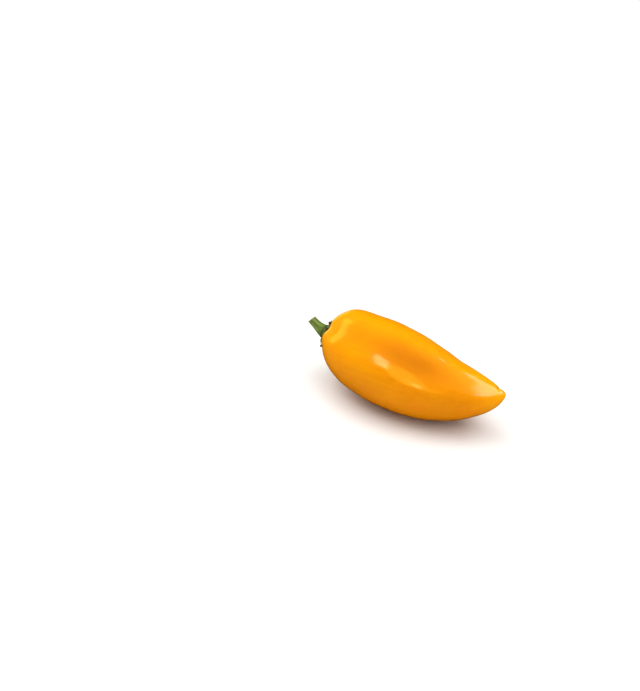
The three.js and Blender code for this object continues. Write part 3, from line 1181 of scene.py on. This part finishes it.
@dataclass
class Stalk:
    """The stem: a ribbed stalk with a swollen knuckle, bent upwards and cut off nearly square."""

    form: FruitForm
    neck_height: float = 3.2
    gap: float = 0.3
    sunk: float = 0.35
    sink_span: Span = (0.0, 0.05)
    start: float = 3.6
    bent: float = 6.0
    rise: float = 37.0
    cut_slant: float = -4.0
    cut_start: float = 0.7
    cut_hollow: float = 0.35
    cut_span: Span = (0.04, 0.97)
    cut_rings: int = 26
    off_cut: float = 2.0
    lip: float = 0.1
    shank: float = 1.93
    swell_height: float = 1.62
    swell_reach: float = 0.33
    undercut: float = 0.8
    undercut_reach: float = 0.07
    crease: float = 0.12
    crease_place: float = 0.2
    crease_reach: float = 0.035
    taper: float = 0.32
    taper_place: float = 0.5
    taper_reach: float = 0.25
    ribs: int = 5
    rib_height: float = 0.09
    rib_angle: float = 20.0
    rib_span: Span = (0.1, 0.4)
    twist: float = 25.0
    fibres: tuple[Wave, ...] = (Wave(0.012, 23, rate=4), Wave(0.008, 37, rate=9))
    fibre_span: Span = (0.05, 0.2)
    rings: int = 190
    sides: int = 220
    rib_tone_span: Span = (0.12, 0.4)
    # The knuckle's paler tone is partly painted highlight on its swell.
    knuckle_tone_and_painted_highlight: float = 0.6
    knuckle_place: float = 0.1
    knuckle_reach: float = 0.07
    # Painted shade on the foot fades out over this span.
    painted_foot_shade_span: Span = (0.03, 0.09)
    lip_span: Span = (0.93, 0.99)
    vessel_ring: float = 0.72
    vessel_width: float = 0.1

    def line(self, share: np.ndarray) -> tuple[np.ndarray, np.ndarray]:
        """Gives the stalk's centre line: a quadratic curve from the neck along the axis, then upwards.

        Args:
            share: places along it, from 0 at the foot to 1 at the cut.

        Returns:
            The points in millimetres and the unit directions there.
        """
        foot, outward = self.form.seat(self.neck_height + self.gap)
        bend = foot + outward * self.start
        level = unit(outward * np.array([1, 1, 0]))
        risen = level * math.cos(math.radians(self.rise)) + UP * math.sin(math.radians(self.rise))
        end = bend + risen * self.bent
        share = np.asarray(share)[..., None]
        point = foot * (1 - share) ** 2 + bend * 2 * share * (1 - share) + end * share**2
        direction = (bend - foot) * (1 - share) + (end - bend) * share
        return point, unit(direction)

    def radius(self, share: np.ndarray) -> np.ndarray:
        """Gives the radius: undercut foot, swollen knuckle with a crease over it, slim shank, slight lip.

        Args:
            share: places along the stalk, from 0 at the foot to 1 at the cut.

        Returns:
            The radius in millimetres.
        """
        swell = self.swell_height * bell(share / self.swell_reach)
        undercut = self.undercut * bell(share / self.undercut_reach)
        crease = self.crease * bell((share - self.crease_place) / self.crease_reach)
        taper = self.taper * bell((share - self.taper_place) / self.taper_reach)
        return self.shank + swell + taper - undercut - crease + self.lip * np.clip(share, 0, 1) ** 4

    def rib(self, share: np.ndarray, angle: np.ndarray) -> np.ndarray:
        """Returns the rib wave from -1 in the flutes to 1 on the ribs."""
        turned = math.radians(self.rib_angle) + math.radians(self.twist) * share
        return np.cos(self.ribs * (angle - turned))

    def wall(self, share: np.ndarray, angle: np.ndarray, reach: np.ndarray | float = 1.0) -> np.ndarray:
        """Gives points of the stalk.

        Args:
            share: places along it, from 0 at the foot to 1 at the cut.
            angle: radians round it.
            reach: shares of its radius.

        Returns:
            Points in millimetres.
        """
        centre, outward = self.line(share)
        side, rise = cross_frame(-outward)
        radius = self.radius(share) * reach
        ribbed = self.rib_height * smooth_step(share, *self.rib_span)
        fibre = waves(self.fibres, angle, share) * smooth_step(share, *self.fibre_span)
        out = radius * (1 + ribbed * self.rib(share, angle) + fibre)
        slant = math.tan(math.radians(self.cut_slant)) * smooth_step(share, self.cut_start, 1.0)
        along = radius * np.sin(angle) * slant
        return centre + spoke(side, rise, angle) * out[..., None] + outward * along[..., None]

    def surface(self) -> tuple[Grid, np.ndarray, np.ndarray, np.ndarray]:
        """Makes the closed stalk, from the middle of the hollow cut down to the foot sunk in the neck.

        Returns:
            The surface, and each vertex's share of the length, angle, and share of the cut's radius.
        """
        angle = ring_angles(self.sides)
        core = np.linspace(*self.cut_span, self.cut_rings)
        core_reach, core_angle = np.meshgrid(core, angle, indexing="ij")
        share, turned = np.meshgrid(np.linspace(1, 0, self.rings), angle, indexing="ij")
        end, outward = self.line(np.array(1.0))
        foot, foot_outward = self.line(np.array(0.0))
        depth = self.gap + self.sunk
        hollow = self.cut_hollow * (1 - core_reach**4)
        face = self.wall(np.ones_like(core_reach), core_angle, core_reach) - outward * hollow[..., None]
        sink = depth * (1 - smooth_step(share, *self.sink_span))
        body = self.wall(share, turned) - foot_outward * sink[..., None]
        rings = np.concatenate([face, body])
        share_all = np.concatenate([[1.0], np.ones(core_reach.size), share.ravel(), [0.0]])
        angle_all = np.concatenate([[0.0], core_angle.ravel(), turned.ravel(), [0.0]])
        off_cut = np.full(share.size + 1, self.off_cut)
        reach_all = np.concatenate([[0.0], core_reach.ravel(), off_cut])
        grid = closed_grid(end - outward * self.cut_hollow, rings, foot - foot_outward * depth)
        return grid, share_all, angle_all, reach_all

    def tones(self, share: np.ndarray, angle: np.ndarray, reach: np.ndarray) -> dict[str, np.ndarray]:
        """Gives the stalk's tones: ribs and knuckle with some painted highlight, painted shade on the foot,
        lip, cut face and its ring of vessels.

        Args:
            share: each vertex's place from 0 at the foot to 1 at the cut.
            angle: its angle round the stalk.
            reach: its share of the cut's radius, or more than 1 off the cut.

        Returns:
            A share for each vertex under each tone's name.
        """
        # Paler rib crests and knuckle, partly painted highlight.
        ribbed = (0.5 + 0.5 * self.rib(share, angle)) ** 2 * smooth_step(share, *self.rib_tone_span)
        knuckle = self.knuckle_tone_and_painted_highlight * bell((share - self.knuckle_place) / self.knuckle_reach)
        return {
            "rib": np.maximum(ribbed, knuckle),
            # Painted shade on the foot.
            "foot": 1 - smooth_step(share, *self.painted_foot_shade_span),
            "lip": smooth_step(share, *self.lip_span),
            "cut": (reach < 1.0).astype(float),
            "vessels": bell((reach - self.vessel_ring) / self.vessel_width),
        }

    def build(self) -> bpy.types.Object:
        """Makes the stalk with its tones, and puts it in the node's place.

        Returns:
            The stalk's object.
        """
        grid, share, angle, reach = self.surface()
        stalk = mesh_object("stalk", grid)
        store(stalk, self.tones(share, angle, reach))
        stalk.data.materials.append(StalkFinish().material())
        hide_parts("stem")
        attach(stalk, "root")
        return stalk


def direction_to(azimuth: float, elevation: float) -> Vector:
    """Gives the way from the pepper towards a viewer.

    Args:
        azimuth: degrees round the pepper, where 0 looks along +Y.
        elevation: degrees over the floor.

    Returns:
        The unit direction.
    """
    turn = math.radians(azimuth)
    lift = math.radians(elevation)
    return Vector((math.sin(turn) * math.cos(lift), -math.cos(turn) * math.cos(lift), math.sin(lift)))


@dataclass(frozen=True)
class SoftBox:
    """A rectangular light: its direction from the pepper, distance and size in metres, and radiance."""

    name: str
    azimuth: float
    elevation: float
    distance: float
    width: float
    height: float
    radiance: float
    colour: tuple[float, float, float] = (1.0, 1.0, 1.0)
    roll: float = 0.0
    gloss: bool = True
    diffuse: bool = True

    def build(self, aim: Vector) -> None:
        """Makes the light, turned to the point that it aims at and hidden from the camera itself.

        Args:
            aim: the point in metres.
        """
        lamp = bpy.data.lights.new(self.name, "AREA")
        lamp.shape = "RECTANGLE"
        lamp.size = self.width
        lamp.size_y = self.height
        lamp.energy = self.radiance * math.pi * self.width * self.height
        lamp.color = self.colour
        box = bpy.data.objects.new(self.name, lamp)
        back = direction_to(self.azimuth, self.elevation)
        box.location = aim + back * self.distance
        box.rotation_mode = "QUATERNION"
        roll = Quaternion((0, 0, 1), math.radians(self.roll))
        box.rotation_quaternion = back.to_track_quat("Z", "Y") @ roll
        box.visible_camera = False
        box.visible_glossy = self.gloss
        box.visible_diffuse = self.diffuse
        bpy.context.scene.collection.objects.link(box)


@dataclass
class Studio:
    """The plain pale floor, the soft light and the camera at the photograph's viewing angle."""

    image: tuple[int, int] = (640, 691)
    aim: tuple[float, float, float] = (5.0, 5.8, 21.5)
    aim_pixel: tuple[float, float] = (417.65, 360.82)
    azimuth: float = 33.41
    elevation: float = 35.0
    distance: float = 0.7
    mm_per_pixel: float = 0.45
    off_axis_gain: float = 1.003
    sensor: float = 36.0
    clip: Span = (0.01, 50.0)
    floor_radius: float = 12.0
    floor_sides: int = 96
    floor_gap: float = 0.0001
    floor_tone: Colour = (0.75, 0.75, 0.74, 1)
    floor_grain: Pattern = Pattern(40, 3, 0.3, 0.7)
    floor_roughness: Span = (0.62, 0.7)
    sky: float = 0.44
    boxes: tuple[SoftBox, ...] = (
        SoftBox("top_softbox", 75, 75, 0.9, 1.1, 1.1, 1.65, gloss=False),
        SoftBox("left_softbox", -95, 50, 0.9, 0.9, 0.9, 2.95, gloss=False),
        SoftBox("right_softbox", 108, 55, 0.85, 1.7, 0.41, 1.9, roll=9, gloss=False),
        SoftBox("right_gleam", 103, 53, 0.75, 1.36, 0.43, 4.5, (1.0, 0.95, 0.8), roll=12, diffuse=False),
        SoftBox("left_gleam", -30, 48, 0.75, 0.18, 0.34, 6.0, (1.0, 0.95, 0.52), roll=24, diffuse=False),
        SoftBox("front_gleam", -2, 37, 0.75, 0.34, 0.62, 3.8, (1.0, 0.65, 0.06), roll=28, diffuse=False),
        SoftBox("front_spark", 6, 23, 0.74, 0.08, 0.2, 6.5, (1.0, 0.75, 0.2), diffuse=False),
        SoftBox("side_gleam", -91, 23, 0.75, 0.2, 0.46, 3.9, (1.0, 0.7, 0.08), roll=50, diffuse=False),
        SoftBox("back_gleam", 240, 0, 0.8, 0.4, 0.24, 1.6, (1.0, 0.8, 0.35), diffuse=False),
        SoftBox("rim_gleam", 206, -22, 0.8, 0.5, 0.3, 0.5, (1.0, 0.6, 0.12), diffuse=False),
    )

    def floor(self) -> None:
        """Lays a wide pale disc a hair under the pepper."""
        turn = ring_angles(self.floor_sides)
        rim = np.stack([np.cos(turn), np.sin(turn), np.zeros_like(turn)], -1) * self.floor_radius
        mesh = bpy.data.meshes.new("floor")
        mesh.from_pydata((rim - UP * self.floor_gap).tolist(), [], [list(range(self.floor_sides))])
        ground = bpy.data.objects.new("floor", mesh)
        bpy.context.scene.collection.objects.link(ground)
        recipe = Recipe("floor")
        roughness = recipe.cloud(self.floor_grain, self.floor_roughness)
        mesh.materials.append(recipe.finish({"Base Color": self.floor_tone, "Roughness": roughness}))
        ground.visible_glossy = False

    def light(self) -> None:
        """Hangs the lights and fills in with an even sky that the gloss doesn't show."""
        for box in self.boxes:
            box.build(Vector(self.aim) * MM)
        world = bpy.data.worlds.new("studio")
        world.use_nodes = True
        background = world.node_tree.nodes["Background"]
        background.inputs["Color"].default_value = (1, 1, 1, 1)
        background.inputs["Strength"].default_value = self.sky
        world.cycles_visibility.glossy = False
        bpy.context.scene.world = world

    def camera(self) -> None:
        """Makes the camera: at its distance along the view, turned so that the aim falls on its own pixel."""
        data = bpy.data.cameras.new("camera")
        focal = self.distance / (self.mm_per_pixel * MM) / self.off_axis_gain
        data.sensor_width = self.sensor
        data.lens = focal * self.sensor / max(self.image)
        data.clip_start, data.clip_end = self.clip
        eye = bpy.data.objects.new("camera", data)
        back = direction_to(self.azimuth, self.elevation)
        level = back.to_track_quat("Z", "Y")
        across = (self.aim_pixel[0] - self.image[0] / 2) / focal
        down = (self.aim_pixel[1] - self.image[1] / 2) / focal
        turn: Quaternion = Vector((across, -down, -1)).rotation_difference(Vector((0, 0, -1)))
        eye.location = Vector(self.aim) * MM + back * self.distance
        eye.rotation_mode = "QUATERNION"
        eye.rotation_quaternion = level @ turn
        bpy.context.scene.collection.objects.link(eye)
        bpy.context.scene.camera = eye

    def build(self) -> None:
        """Sets the whole studio up, with plain colours that keep the pepper's saturation."""
        self.camera()
        self.floor()
        self.light()
        bpy.context.scene.view_settings.view_transform = "Standard"


def main() -> None:
    """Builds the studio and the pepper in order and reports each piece."""
    logging.basicConfig(level=logging.INFO, format="%(name)s: %(message)s")
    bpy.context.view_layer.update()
    Studio().build()
    form = FruitForm()
    for maker in (Fruit(form), Calyx(form), Stalk(form)):
        piece = maker.build()
        LOG.info("%s: %d vertices, %d faces", piece.name, len(piece.data.vertices), len(piece.data.polygons))


if __name__ == "__main__":
    main()
